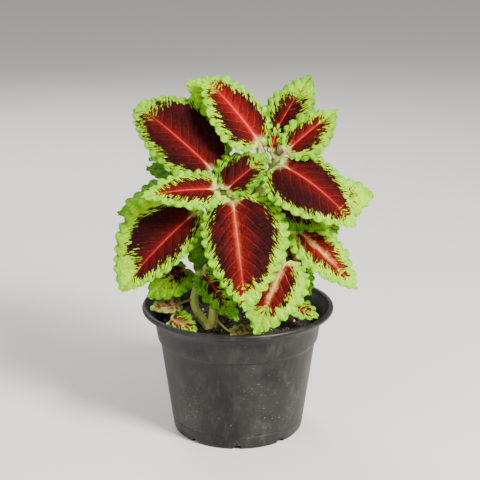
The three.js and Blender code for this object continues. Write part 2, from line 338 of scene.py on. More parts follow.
leafColours = {
    "lime": (0.36, 0.86, 0.001, 1),
    "paleLime": (0.53, 0.93, 0.001, 1),
    # deep green: the margin's darker tone, also used for painted shade
    "deepGreenAndShade": (0.075, 0.27, 0.001, 1),
    "maroon": (0.022, 0.0008, 0.0014, 1),
    # crimson: the patch's painted glow where light comes through
    "litCrimson": (0.20, 0.0045, 0.0030, 1),
    # blush: the veins' own pink, also used for painted glow
    "blushAndGlow": (0.56, 0.020, 0.012, 1),
    "pinkVein": (0.88, 0.060, 0.075, 1),
    "cream": (0.95, 0.82, 0.26, 1),
    "underside": (0.26, 0.17, 0.09, 1),
    "dryTan": (0.62, 0.42, 0.20, 1),
    "dryBrown": (0.16, 0.070, 0.035, 1),
    "stalk": (0.42, 0.58, 0.12, 1),
    "stalkBlush": (0.55, 0.36, 0.20, 1),
}


def makeLeafMaterial():
    material, tree, n, shader = newMaterial("coleusLeaf")
    look = leafColours
    flat = n.add("ShaderNodeUVMap", 0, {"uv_map": "leafMap"})
    u, v = n.split(flat)[:2]
    across = n.times(u, 100.0)
    along = n.times(v, 100.0)
    values = {}
    for name in ("edge", "rim", "leafSeed", "part", "glow", "shade", "cream", "dry", "long", "notchShade"):
        values[name] = n.add("ShaderNodeAttribute", "Fac", {"attribute_name": name})
    veins = useGroup(n, leafVeins, Across=across, Along=along, Seed=values["leafSeed"])
    patch = useGroup(n, leafPatch, Across=across, Along=along, Phase=veins["Phase"], Edge=values["edge"],
                     Rim=values["rim"], Seed=values["leafSeed"])
    out = n.size(across)
    place = n.join(across, along, values["leafSeed"])
    cloud = n.noise(place, 0.09, 2.0)
    share = n.over(along, values["long"])

    # margin: lime cells with painted shade in the creases, between the teeth and over leaves that lie in shade,
    # paler towards the patch
    green = n.blend(n.ramp(values["edge"], 0.5, 5.0), look["lime"], look["paleLime"])
    # painted shade in the creases, plus a random darker tone from the cloud noise
    dark = n.plus(n.times(veins["Crease Shade"], 0.34), n.times(n.ramp(cloud, 0.42, 0.66), 0.22))
    # painted shade in the notches between the teeth
    dark = n.plus(dark, n.times(values["notchShade"], 0.55))
    # painted shade: the margin darkened on each leaf that lies in shade, by the leaf's shade value
    dark = n.plus(dark, n.times(values["shade"], n.plus(0.55, n.times(n.noise(place, 0.35, 2.0), 0.5))))
    # deep green carries both the random darker tone and the painted shade
    green = n.blend(n.clip(dark), green, look["deepGreenAndShade"])

    # patch: burgundy, with a painted glow of red along the veins where light comes through
    middle = n.ramp(n.plus(out, n.times(cloud, 6.0)), 3.0, 15.0, 1.0, 0.0)
    # painted glow: crimson painted near the midrib and in clouds, scaled by each leaf's glow
    lit = n.times(n.plus(n.times(middle, 0.7), n.times(n.ramp(cloud, 0.45, 0.7), 0.45)), values["glow"])
    red = n.blend(n.clip(lit), look["maroon"], look["litCrimson"])
    # painted shade: maroon in the creases, less of it on glowing leaves
    red = n.blend(n.times(veins["Crease Shade"], n.minus(0.6, n.times(values["glow"], 0.25))), red, look["maroon"])
    hem = n.ramp(n.plus(patch["Depth"], n.times(n.noise(place, 0.5, 2.0), 6.0)), 2.0, 9.0, 0.75, 0.0)
    red = n.blend(hem, red, look["maroon"])
    # painted glow: the vein net painted lighter on leaves that light comes through
    netLight = n.times(n.times(veins["Net"], values["glow"]), n.times(middle, 0.4))
    red = n.blend(netLight, red, look["blushAndGlow"])
    # side veins pink: partly their own colour, partly painted glow on leaves that light comes through
    veinPink = n.times(veins["Side Veins"], n.ramp(out, 1.0, 22.0, 0.8, 0.15))
    red = n.blend(n.times(veinPink, n.plus(n.times(values["glow"], 0.85), 0.15)), red, look["blushAndGlow"])
    # painted glow along the midrib
    midGlow = n.times(n.ramp(out, 0.3, 3.0, 0.7, 0.0), n.ramp(share, 0.2, 0.95, 1.0, 0.2))
    red = n.blend(n.times(midGlow, values["glow"]), red, look["blushAndGlow"])
    # the midrib's own pink, made stronger by painted glow
    midLine = n.times(veins["Mid Vein"], n.ramp(share, 0.3, 1.0, 1.0, 0.3))
    red = n.blend(n.times(midLine, n.plus(0.4, n.times(values["glow"], 0.6))), red, look["pinkVein"])

    colour = n.blend(patch["Dark"], green, red)
    near = n.plus(share, n.times(out, 0.012))
    base = n.times(n.ramp(near, 0.0, 0.10, 0.9, 0.0), n.plus(0.4, n.times(values["cream"], 0.6)))
    lines = n.maths("MAXIMUM", veins["Mid Vein"], n.times(veins["Side Veins"], 0.7))
    lines = n.times(lines, n.ramp(near, 0.02, n.plus(0.14, n.times(values["cream"], 0.4)), 0.8, 0.0))
    streak = n.ramp(n.plus(out, n.times(n.noise(place, 0.3, 3.0), 5.0)), 2.2, 5.6, 1.0, 0.0)
    streak = n.times(streak, n.ramp(share, 0.02, 0.2))
    wash = n.times(n.times(streak, n.ramp(share, 0.4, 0.7, 0.75, 0.0)), values["cream"])
    colour = n.blend(n.maths("MAXIMUM", n.maths("MAXIMUM", base, lines), wash), colour, look["cream"])
    crisp = n.times(values["dry"], n.ramp(values["edge"], 0.4, 2.2, 0.45, 1.0))
    dryTone = n.blend(n.ramp(n.noise(place, 0.5, 3.0), 0.42, 0.6), look["dryTan"], look["dryBrown"])
    colour = n.blend(crisp, colour, dryTone)
    under = n.maths("COMPARE", values["part"], 1.0, 0.2)
    stalk = n.maths("COMPARE", values["part"], 2.0, 0.2)
    colour = n.blend(n.times(under, 0.35), colour, look["underside"])
    stalkColour = n.blend(n.noise(n.add("ShaderNodeTexCoord", "Object"), 60.0), look["stalk"], look["stalkBlush"])
    colour = n.blend(stalk, colour, stalkColour)

    feed(tree, shader.inputs["Base Color"], colour)
    feed(tree, shader.inputs["Roughness"], n.ramp(veins["Height"], 0.8, 2.4, 0.6, 0.42))
    shader.inputs["Specular IOR Level"].default_value = 0.10
    addBump(tree, shader, n.times(veins["Height"], n.minus(1.0, stalk)), 0.9, 0.5 * mm)

    glowThrough = tree.nodes.new("ShaderNodeBsdfTranslucent")
    feed(tree, glowThrough.inputs["Color"], n.add("ShaderNodeHueSaturation", Color=colour, Saturation=1.1,
                                                   Value=1.3))
    mixShader = tree.nodes.new("ShaderNodeMixShader")
    mixShader.inputs[0].default_value = 0.28
    tree.links.new(shader.outputs[0], mixShader.inputs[1])
    tree.links.new(glowThrough.outputs[0], mixShader.inputs[2])
    tree.links.new(mixShader.outputs[0], tree.nodes["Material Output"].inputs["Surface"])
    return material


leafMaterial = makeLeafMaterial()
print("leaf material made")


# Leaf shape: a toothed, quilted, drooping blade on a round stalk, in its own axes

leafBuild = {
    "baseRound": 0.5,
    "lobeLength": 0.07,
    "lobeReach": 0.12,
    "marginCurl": 0.2,
    "rows": 150,
    "columns": 27,
    "quilt": 0.7 * mm,
    "bead": 0.9 * mm,
    "groove": 0.45 * mm,
    "thickness": 0.4 * mm,
    "toothDepth": 1.9 * mm,
    "toothPitch": 5.6 * mm,
    "ripple": 0.9 * mm,
    "stalkRadius": 1.15 * mm,
    "seatAlong": 0.09,       # where the stalk meets the blade, as a share of its length
    "seatBelow": 0.9 * mm,
    "stalkRise": 0.6,
    "stalkLeave": 0.4,
    "stalkArrive": 0.35,
    "fullSize": 45,          # leaves shorter than this many millimetres have finer teeth and relief
    "marginRun": 1.25,       # length of the two margins over the blade's length
}


def makeLeafTree():
    tree, n, given, result = newTree("coleusLeaf", "GeometryNodeTree", [
        ("Length", "Float", 60 * mm), ("Width", "Float", 40 * mm), ("Widest", "Float", 0.65),
        ("Point", "Float", 0.3), ("Droop", "Float", 0.5), ("Fold", "Float", 0.15), ("Skew", "Float", 0.0),
        ("Teeth", "Float", 16.0), ("Tooth Depth", "Float", 1.2 * mm), ("Quilt", "Float", 0.4 * mm),
        ("Bead", "Float", 0.8 * mm), ("Ripple", "Float", 0.8 * mm), ("Thickness", "Float", 0.4 * mm),
        ("Rows", "Int", 120), ("Columns", "Int", 25),
        ("Rim Left", "Float", 5.0), ("Rim Right", "Float", 5.0), ("Glow", "Float", 0.5), ("Shade", "Float", 0.0),
        ("Cream", "Float", 0.0), ("Dry", "Float", 0.0), ("Seed", "Float", 0.0),
        ("Stalk Start", "Vector", (0, -0.02, 0)), ("Stalk Leave", "Vector", (0, -0.015, 0.01)),
        ("Stalk Arrive", "Vector", (0, -0.005, 0)), ("Stalk End", "Vector", (0, 0.004, 0)),
        ("Stalk Radius", "Float", 1.1 * mm), ("Material", "Material", None)], [("Geometry", "Geometry")])
    length, width = given["Length"], given["Width"]

    # grid: side runs from -1 to 1 across, run from 0 to 1 round the margin, both closer together at the margin
    grid = n.add("GeometryNodeMeshGrid", Size_X=2.0, Size_Y=1.0, Vertices_X=given["Columns"],
                 Vertices_Y=given["Rows"])
    x, y, z = n.split(n.add("GeometryNodeInputPosition"))
    side = n.over(n.sine(n.times(x, 1.25)), math.sin(1.25))
    run = n.maths("MINIMUM", n.maths("MAXIMUM", n.plus(y, 0.5), 0.004), 0.996)
    fromBase = n.power(run, 1.8)
    fromTip = n.power(n.minus(1.0, run), 1.3)
    along = n.over(fromBase, n.plus(fromBase, fromTip))
    roundness = n.plus(leafBuild["baseRound"], n.times(given["Point"], along))
    bulge = n.power(n.sine(n.times(n.power(along, given["Widest"]), math.pi)), roundness)
    half = n.times(n.times(width, 0.5), bulge)
    half = n.times(half, n.plus(1.0, n.times(given["Skew"], n.maths("SIGN", side))))
    sideSquared = n.times(side, side)

    # teeth: round scallops that lean towards the tip, unequal, none at the stalk
    flatX = n.times(side, half)
    lobe = n.times(n.times(length, leafBuild["lobeLength"]), sideSquared)
    lobe = n.times(lobe, n.maths("EXPONENT", n.times(along, -1 / leafBuild["lobeReach"])))
    flatY = n.minus(n.times(along, length), lobe)
    seedShift = n.join(n.times(n.maths("SIGN", side), 7.0), n.times(run, 9.0), given["Seed"])
    unequal = n.minus(n.noise(seedShift, 1.0, 1.0), 0.5)
    turn = n.plus(n.times(n.times(run, given["Teeth"]), math.pi), n.times(unequal, 2.4))
    lean = n.plus(turn, n.times(n.sine(n.times(turn, 2.0)), -0.28))
    scallop = n.minus(n.power(n.size(n.sine(lean)), 0.6), 0.55)
    fine = n.times(n.minus(n.power(n.size(n.sine(n.times(lean, 2.0))), 0.7), 0.5), 0.24)
    scallop = n.plus(scallop, fine)
    scallop = n.times(scallop, n.plus(0.75, n.times(n.noise(seedShift, 2.3, 0.0), 0.6)))
    atMargin = n.times(n.power(n.size(side), 9.0), n.ramp(run, 0.015, 0.08))
    push = n.times(n.times(scallop, given["Tooth Depth"]), n.times(atMargin, n.ramp(run, 0.97, 1.0, 1.0, 0.3)))
    outX = n.over(flatX, n.times(width, width))
    outY = n.over(n.minus(flatY, n.times(length, 0.44)), n.times(length, length))
    outward = n.vector("NORMALIZE", n.join(outX, outY, 0.0))
    ox, oy, oz = n.split(outward)
    flatX = n.plus(flatX, n.times(ox, push))
    flatY = n.plus(flatY, n.times(oy, push))

    # relief: quilting between side veins, a groove along the midrib, and a slow ripple
    across = n.times(n.size(flatX), 1 / mm)
    down = n.times(flatY, 1 / mm)
    slow = n.noise(n.join(n.times(flatX, 1 / mm), down, given["Seed"]), 0.12)
    rise = n.plus(n.times(across, veinLook["slant"]), n.times(n.times(across, across), veinLook["curve"]))
    phase = n.plus(n.over(n.minus(down, rise), veinLook["spacing"]), n.times(slow, 0.55))
    arch = n.power(n.size(n.sine(n.times(phase, math.pi))), 0.8)
    roomy = n.times(n.ramp(across, 0.5, 4.0), n.ramp(n.size(side), 0.7, 1.0, 1.0, 0.25))
    relief = n.times(n.times(n.minus(arch, 0.5), given["Quilt"]), roomy)
    relief = n.minus(relief, n.times(n.ramp(across, 0.0, 2.2, 1.0, 0.0), leafBuild["groove"]))
    wave = n.sine(n.plus(n.times(run, 34.0), n.plus(given["Seed"], n.times(n.maths("SIGN", side), 1.3))))
    relief = n.plus(relief, n.times(n.times(wave, given["Ripple"]), n.power(n.size(side), 4.0)))
    bead = n.times(n.minus(n.power(n.size(n.sine(lean)), 0.8), 0.6), n.ramp(n.size(side), 0.7, 0.98))
    relief = n.plus(relief, n.times(bead, given["Bead"]))
    swell = n.minus(n.noise(n.join(n.times(flatX, 45.0), n.times(flatY, 45.0), given["Seed"]), 1.0, 1.0), 0.5)
    relief = n.plus(relief, n.times(n.times(swell, 3.0 * mm), n.size(side)))

    # bend: the midrib follows an arc whose chord is the leaf's length, and the halves fold up from it
    start = n.times(given["Droop"], 0.5)
    slope = n.minus(start, n.times(given["Droop"], along))
    bendRadius = n.over(n.times(length, 0.5), n.sine(start))
    lift = n.times(n.size(flatX), n.sine(given["Fold"]))
    lift = n.plus(n.minus(lift, n.times(n.times(half, leafBuild["marginCurl"]), sideSquared)), relief)
    slip = n.minus(flatY, n.times(along, length))
    forward = n.times(bendRadius, n.minus(n.sine(start), n.sine(slope)))
    forward = n.plus(n.minus(forward, n.times(n.sine(slope), lift)), n.times(n.cosine(slope), slip))
    upward = n.times(bendRadius, n.minus(n.cosine(slope), n.cosine(start)))
    upward = n.plus(n.plus(upward, n.times(n.cosine(slope), lift)), n.times(n.sine(slope), slip))
    place = n.join(n.times(flatX, n.cosine(given["Fold"])), forward, upward)

    # what the material reads, stored on the flat sheet before it is bent
    inward = n.times(n.minus(1.0, n.size(side)), n.times(half, 1 / mm))
    tipward = n.times(n.times(n.minus(1.0, along), length), 0.5 / mm)
    edge = n.maths("MINIMUM", inward, tipward)
    rim = n.plus(given["Rim Left"], n.times(n.minus(given["Rim Right"], given["Rim Left"]),
                                            n.ramp(side, -0.25, 0.25)))
    # glow and shade are each leaf's painted glow and painted shade; notch marks the painted shade between the
    # teeth
    stored = {"edge": edge, "rim": rim, "leafSeed": given["Seed"], "part": 0.0, "glow": given["Glow"],
              "shade": given["Shade"], "cream": given["Cream"], "dry": given["Dry"],
              "long": n.times(length, 1 / mm),
              "notchShade": n.times(n.power(n.minus(1.0, n.size(n.sine(lean))), 1.5), n.ramp(n.size(side), 0.72, 0.98))}
    sheet = grid
    for name, value in stored.items():
        sheet = n.add("GeometryNodeStoreNamedAttribute", 0, {"data_type": "FLOAT", "domain": "POINT"},
                      Geometry=sheet, Name=name, Value=value)
    flatMap = n.join(n.times(flatX, 10.0), n.times(flatY, 10.0), 0.0)
    sheet = n.add("GeometryNodeStoreNamedAttribute", 0, {"data_type": "FLOAT2", "domain": "CORNER"},
                  Geometry=sheet, Name="leafMap", Value=flatMap)
    sheet = n.moved(sheet, Position=place)

    # thickness: the lower face is the sheet turned over, the upper one is pushed out from it
    lowered = n.moved(sheet,
                    Offset=n.stretch(n.add("GeometryNodeInputNormal"), n.times(given["Thickness"], -0.5)))
    pushed = n.add("GeometryNodeExtrudeMesh", Mesh=lowered, Individual=False,
                   Offset=n.add("GeometryNodeInputNormal"), Offset_Scale=given["Thickness"])
    under = n.add("GeometryNodeStoreNamedAttribute", 0, {"data_type": "FLOAT", "domain": "FACE"},
                  Geometry=n.add("GeometryNodeFlipFaces", Mesh=lowered), Name="part", Value=1.0)
    upper = n.add("GeometryNodeStoreNamedAttribute", 0, {"data_type": "FLOAT", "domain": "FACE"},
                  Geometry=pushed, Name="part", Value=0.0)
    both = tree.nodes.new("GeometryNodeJoinGeometry")
    tree.links.new(upper, both.inputs[0])
    tree.links.new(under, both.inputs[0])
    blade = n.add("GeometryNodeMergeByDistance", Geometry=both.outputs[0], Distance=0.004 * mm)

    # stalk: a round tube that thins towards the blade
    path = n.add("GeometryNodeCurvePrimitiveBezierSegment", 0, {"mode": "POSITION"}, Resolution=18,
                 Start=given["Stalk Start"], Start_Handle=given["Stalk Leave"], End_Handle=given["Stalk Arrive"],
                 End=given["Stalk End"])
    share = n.add("GeometryNodeSplineParameter")
    thin = n.times(given["Stalk Radius"], n.ramp(share, 0.0, 1.0, 1.12, 0.72))
    path = n.add("GeometryNodeSetCurveRadius", Curve=path, Radius=thin)
    ring = n.add("GeometryNodeCurvePrimitiveCircle", Resolution=12, Radius=1.0)
    stalk = n.add("GeometryNodeCurveToMesh", Curve=path, Profile_Curve=ring, Fill_Caps=True, Scale=thin)
    stalkValues = {"part": 2.0, "edge": 0.0, "rim": 0.0, "leafSeed": given["Seed"], "glow": given["Glow"],
                   "shade": given["Shade"], "cream": given["Cream"], "dry": given["Dry"],
                   "long": n.times(length, 1 / mm)}
    for name, value in stalkValues.items():
        domain = "FACE" if name == "part" else "POINT"
        stalk = n.add("GeometryNodeStoreNamedAttribute", 0, {"data_type": "FLOAT", "domain": domain},
                      Geometry=stalk, Name=name, Value=value)
    whole = tree.nodes.new("GeometryNodeJoinGeometry")
    tree.links.new(blade, whole.inputs[0])
    tree.links.new(stalk, whole.inputs[0])
    return finishTree(tree, n, given, result, whole.outputs[0])


leafTree = makeLeafTree()
print("leaf tree made")


# Leaves: the plan of the plant, in millimetres and degrees, one row for each leaf

# glow and shade in each row set how much painted glow and painted shade the leaf's colour carries
leafPlan = {
    "leaf_left_upper": {"node": ["left", 166], "at": [-17, -3, 181], "toward": [156, 35], "face": [-82, 35],
        "size": [67, 54], "widest": 0.69, "point": 0, "droop": 30, "fold": 8, "skew": 0.2, "rim": [4.2, 5.2],
        "glow": 0.4, "shade": 0.3},
    "leaf_crown_left": {"node": ["right", 184], "at": [13, 0, 200], "toward": [154, 44], "face": [-75, 40],
        "size": [55, 39], "widest": 0.6, "point": 0.2, "droop": 30, "fold": 8, "skew": -0.05, "rim": [5, 3.4],
        "glow": 1, "shade": 0},
    "leaf_crown_rear": {"node": ["right", 176], "at": [3, 18, 217], "toward": [164, 24], "face": [-85, 45],
        "size": [42, 36], "widest": 0.7, "point": 0.3, "droop": 25, "fold": 6, "rim": [8.5, 9], "glow": 0.5,
        "shade": 0},
    "leaf_crown_shaded": {"node": ["right", 166], "at": [-4, 24, 206], "toward": [165, 22], "face": [-85, 50],
        "size": [38, 34], "widest": 0.65, "droop": 30, "fold": 6, "rim": [9, 9], "glow": 0.2, "shade": 0.6},
    "leaf_crown_right": {"node": ["right", 186], "at": [21, 16, 195], "toward": [27, 54], "face": [-105, 32],
        "size": [53, 36], "widest": 0.7, "point": 0.3, "droop": 20, "fold": 12, "skew": 0.1, "rim": [8, 8],
        "glow": 0.2, "shade": 0.35},
    "leaf_right_upper": {"node": ["right", 187], "at": [33, -2, 194], "toward": [17, 36], "face": [-95, 45],
        "size": [42, 33], "widest": 0.65, "point": 0.5, "droop": 15, "fold": 12, "skew": 0.1, "rim": [6.5, 6],
        "glow": 0.5, "shade": 0.2},
    "leaf_centre_small": {"node": ["left", 169], "at": [-7, -17, 171], "toward": [24, 34], "face": [-100, 50],
        "size": [36, 35], "widest": 0.62, "point": 0.4, "droop": 10, "fold": 15, "skew": -0.15,
        "rim": [5, 4.5], "glow": 0.25, "shade": 0.5},
    "leaf_right_large": {"node": ["right", 181], "at": [29, -9, 185], "toward": [-24, -35], "face": [-75, 45],
        "size": [62, 50], "widest": 0.55, "point": 0.3, "droop": 45, "fold": 8, "skew": 0.12,
        "rim": [4.6, 4.6], "glow": 0.45, "shade": 0},
    "leaf_right_rear": {"node": ["right", 172], "at": [53, 15, 164], "toward": [7, -8], "face": [-70, 35],
        "size": [40, 34], "widest": 0.7, "droop": 35, "fold": 8, "skew": 0.45, "rim": [7.5, 9], "glow": 0.4,
        "shade": 0},
    "leaf_front_large": {"node": ["left", 162], "at": [-3, -22, 164], "toward": [-74, -65], "face": [-90, 30],
        "size": [71, 56], "widest": 0.62, "point": 0.35, "droop": 35, "fold": 10, "skew": -0.19,
        "rim": [7, 4.5], "glow": 0.75, "shade": 0, "cream": 0.1},
    "leaf_front_low": {"node": ["right", 110], "at": [31, -25, 124], "toward": [-131, -55],
        "face": [-100, 30], "size": [51, 42], "widest": 0.6, "droop": 30, "fold": 8, "rim": [8.5, 8.5],
        "glow": 0.9, "shade": 0, "cream": 0.8},
    "leaf_right_low": {"node": ["right", 140], "at": [40, -10, 141], "toward": [-22, -41], "face": [-75, 40],
        "size": [54, 32], "widest": 0.62, "droop": 25, "fold": 10, "rim": [6.5, 6.5], "glow": 1, "shade": 0,
        "cream": 0.7},
    "leaf_right_inner": {"node": ["right", 132], "at": [31, -3, 139], "toward": [-34, -63], "face": [-85, 25],
        "size": [46, 24], "widest": 0.6, "droop": 20, "fold": 10, "rim": [6.5, 6.5], "glow": 0.5,
        "shade": 0.1, "cream": 0.6},
    "leaf_right_under": {"node": ["right", 152], "at": [22, 2, 158], "toward": [-15, -22], "face": [-80, 40],
        "size": [42, 30], "widest": 0.6, "droop": 25, "fold": 8, "rim": [6, 6], "glow": 0.6, "shade": 0.4},
    "leaf_pot_right": {"node": ["right", 95], "at": [33, -15, 91], "toward": [-12, -18], "face": [-85, 60],
        "size": [22, 17], "widest": 0.8, "droop": 20, "fold": 5, "skew": -0.15, "rim": [4, 4], "glow": 0.4,
        "shade": 0},
    "leaf_left_small": {"node": ["left", 168], "at": [-15, -21, 172], "toward": [-162, -2], "face": [-85, 45],
        "size": [49, 30], "widest": 0.5, "point": 0.5, "droop": 25, "fold": 10, "rim": [5.5, 5], "glow": 0.5,
        "shade": 0},
    "leaf_left_large": {"node": ["left", 144], "at": [-28, -12, 154], "toward": [-159, -43],
        "face": [-110, 25], "size": [70, 52], "widest": 0.7, "point": 0.2, "droop": 30, "fold": 12,
        "skew": 0.3, "rim": [4.5, 10.5], "glow": 0.35, "shade": 0},
    "leaf_left_rear": {"node": ["left", 150], "at": [-25, 6, 164], "toward": [178, -16], "face": [-100, 55],
        "size": [58, 42], "widest": 0.6, "droop": 30, "fold": 8, "rim": [14, 14], "glow": 0.2, "shade": 0.75},
    "leaf_left_tucked": {"node": ["left", 160], "at": [-24, 10, 174], "toward": [174, 6], "face": [-100, 55],
        "size": [38, 28], "widest": 0.6, "droop": 25, "fold": 8, "rim": [9, 9], "glow": 0.2, "shade": 0.8},
    "leaf_centre_shaded": {"node": ["left", 130], "at": [-16, -7, 144], "toward": [-115, -82],
        "face": [-100, 12], "size": [40, 36], "widest": 0.6, "droop": 20, "fold": 10, "rim": [13, 13],
        "glow": 0.2, "shade": 0.8},
    "leaf_low_dark": {"node": ["left", 106], "at": [-23, -23, 117], "toward": [-38, -43], "face": [-100, 25],
        "size": [40, 21], "widest": 0.6, "droop": 20, "fold": 10, "rim": [7, 6], "glow": 0.1, "shade": 0.7},
    "leaf_low_left": {"node": ["left", 108], "at": [-35, -7, 114], "toward": [-160, -35], "face": [-100, 55],
        "size": [31, 34], "widest": 0.6, "droop": 40, "fold": 10, "rim": [9, 9], "glow": 0.2, "shade": 0.5},
    "leaf_wilted": {"node": ["left", 92], "at": [-39, -12, 91], "toward": [-165, -5], "face": [-100, 50],
        "size": [20, 15], "widest": 0.6, "droop": 30, "fold": 15, "rim": [3, 3], "glow": 0.2, "shade": 0.2,
        "dry": 0.75},
    "leaf_pot_left": {"node": ["left", 80], "at": [-44, -20, 83], "toward": [-35, -10], "face": [-100, 45],
        "size": [21, 17], "widest": 0.6, "droop": 30, "fold": 10, "rim": [3, 3], "glow": 0.5, "shade": 0,
        "cream": 0.6},
    "leaf_dry": {"node": ["right", 78], "at": [-4, -28, 77], "toward": [10, 0], "face": [-100, 60],
        "size": [17, 10], "widest": 0.6, "droop": 30, "fold": 10, "rim": [9, 9], "glow": 0.2, "shade": 0,
        "dry": 0.95},
    "leaf_crown_young": {"node": ["right", 187.5], "at": [22, -3, 194], "toward": [55, 62],
        "face": [-100, 28], "size": [18, 8], "widest": 0.6, "droop": 5, "fold": 30, "rim": [1.2, 1.2],
        "glow": 0.5, "shade": 0.1},
    "leaf_back_crown": {"node": ["right", 180], "at": [14, 26, 196], "toward": [118, 30], "face": [92, 42],
        "size": [46, 35], "widest": 0.68, "droop": 30, "fold": 8, "rim": [5, 5], "glow": 0.8, "shade": 0},
    "leaf_back_high": {"node": ["right", 184], "at": [31, 13, 191], "toward": [72, 28], "face": [80, 45],
        "size": [48, 35], "widest": 0.65, "droop": 35, "fold": 10, "rim": [6, 6], "glow": 0.8, "shade": 0},
    "leaf_back_left": {"node": ["left", 154], "at": [-23, 27, 168], "toward": [134, 4], "face": [104, 45],
        "size": [58, 45], "widest": 0.65, "droop": 40, "fold": 8, "rim": [5, 6], "glow": 0.7, "shade": 0},
    "leaf_back_middle": {"node": ["right", 160], "at": [12, 23, 171], "toward": [100, -48], "face": [92, 35],
        "size": [62, 50], "widest": 0.62, "droop": 38, "fold": 8, "rim": [5, 6], "glow": 0.8, "shade": 0},
    "leaf_back_right": {"node": ["right", 150], "at": [36, 20, 154], "toward": [34, -40], "face": [72, 35],
        "size": [52, 40], "widest": 0.65, "droop": 35, "fold": 8, "rim": [6, 5], "glow": 0.7, "shade": 0},
    "leaf_back_low_left": {"node": ["left", 130], "at": [-32, 16, 138], "toward": [152, -45],
        "face": [112, 32], "size": [58, 43], "widest": 0.65, "droop": 35, "fold": 8, "rim": [7, 5],
        "glow": 0.6, "shade": 0},
    "leaf_back_low": {"node": ["right", 122], "at": [4, 20, 122], "toward": [82, -55], "face": [90, 25],
        "size": [46, 36], "widest": 0.62, "droop": 35, "fold": 8, "rim": [7, 7], "glow": 0.6, "shade": 0.1},
    "leaf_back_low_right": {"node": ["right", 112], "at": [26, 16, 116], "toward": [38, -35],
        "face": [60, 40], "size": [40, 30], "widest": 0.65, "droop": 35, "fold": 8, "rim": [6, 6],
        "glow": 0.6, "shade": 0.1},
    "leaf_inner_shaded": {"node": ["right", 154], "at": [-4, 11, 158], "toward": [110, 72], "face": [-80, 18],
        "size": [30, 30], "widest": 0.6, "droop": 25, "fold": 8, "rim": [8, 8], "glow": 0.1, "shade": 0.8},
}

stemPlan = {
    "left": {"radius": 2.4, "route": [(-19, -11, 58), (-21, -11, 74), (-29, -9, 89), (-27, -5, 105), (-21, 0, 135),
                                      (-16, 2, 158), (-14, 0, 172)]},
    "right": {"radius": 2.8, "route": [(-17, -11, 58), (-17, -10, 74), (-15, -8, 92), (-8, -2, 115), (6, 3, 145),
                                       (20, 3, 172), (26, 1, 189)]},
}


def direction(azimuth, elevation):
    around, up = math.radians(azimuth), math.radians(elevation)
    return Vector((math.cos(around) * math.cos(up), math.sin(around) * math.cos(up), math.sin(up)))


def leafFrame(plan):
    forward = direction(*plan["toward"])
    normal = direction(*plan["face"])
    normal = (normal - forward * normal.dot(forward)).normalized()
    across = forward.cross(normal)
    place = Matrix((across, forward, normal)).transposed().to_4x4()
    place.translation = Vector(plan["at"]) * mm
    return place


def stemCentre(branch, height):
    route = [Vector(point) for point in stemPlan[branch]["route"]]
    for low, high in zip(route, route[1:]):
        if low.z <= height <= high.z:
            return low.lerp(high, (height - low.z) / (high.z - low.z)) * mm
    return route[-1] * mm


def stalkPoints(plan, place):
    # from the middle of the stem out and up, then in under the blade's base, in the leaf's own axes
    branch, height = plan["node"]
    root = stemCentre(branch, height)
    base = Vector(plan["at"]) * mm
    outward = (base - root)
    outward.z = 0
    outward.normalize()
    start = root + outward * stemPlan[branch]["radius"] * 0.5 * mm
    reach = (base - start).length
    leaving = (outward + Vector((0, 0, leafBuild["stalkRise"]))).normalized()
    length = plan["size"][0] * mm
    halfDroop = math.radians(plan["droop"]) / 2
    along = leafBuild["seatAlong"] * length
    seat = place @ Vector((0, along, along * math.sin(halfDroop) - leafBuild["seatBelow"]))
    arrival = (seat - base).normalized()
    back = place.inverted()
    points = (start, start + leaving * leafBuild["stalkLeave"] * reach,
              base - arrival * leafBuild["stalkArrive"] * reach, seat)
    return [back @ point for point in points]


def makeLeaf(name, plan, seed):
    place = leafFrame(plan)
    length, width = plan["size"]
    start, leave, arrive, end = stalkPoints(plan, place)
    share = min(1.0, length / leafBuild["fullSize"])
    pitch = leafBuild["toothPitch"] / mm * (0.55 + 0.45 * share)
    teeth = round(length * leafBuild["marginRun"] / pitch)
    values = {
        "Length": length * mm, "Width": width * mm, "Widest": plan["widest"], "Point": plan.get("point", 0.3),
        "Droop": math.radians(plan["droop"]), "Fold": math.radians(plan["fold"]), "Skew": plan.get("skew", 0.0),
        "Teeth": float(teeth), "Tooth Depth": leafBuild["toothDepth"] * (0.4 + 0.6 * share),
        "Quilt": leafBuild["quilt"] * share, "Bead": leafBuild["bead"] * share,
        "Ripple": leafBuild["ripple"] * share, "Thickness": leafBuild["thickness"],
        "Rows": int(leafBuild["rows"] * (0.4 + 0.6 * share)), "Columns": leafBuild["columns"],
        "Rim Left": float(plan["rim"][0]), "Rim Right": float(plan["rim"][1]),
        "Glow": plan["glow"], "Shade": plan["shade"], "Cream": plan.get("cream", 0.0),
        "Dry": plan.get("dry", 0.0), "Seed": float(seed),
        "Stalk Start": start, "Stalk Leave": leave, "Stalk Arrive": arrive, "Stalk End": end,
        "Stalk Radius": leafBuild["stalkRadius"] * (0.5 + 0.5 * share), "Material": leafMaterial,
    }
    return runTree(name.replace("leaf_", "blade_"), leafTree, values, place)


worstGap = 0
for seed, (node, plan) in enumerate(leafPlan.items()):
    piece = makeLeaf(node, plan, 11 + 7 * seed)
    keep(piece, node)
    corners = [Vector(corner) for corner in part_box(node)]
    own = [Vector([pick(v.co[i] for v in piece.data.vertices) for i in range(3)]) for pick in (min, max)]
    gap = max(abs(a[i] - b[i]) for a, b in zip(corners, own) for i in range(3))
    worstGap = max(worstGap, gap)
print(len(leafPlan), "leaves made, furthest from their solids:", round(worstGap / mm, 1), "mm")


# Stem: two ridged branches that swell a little where the leaves spring from them

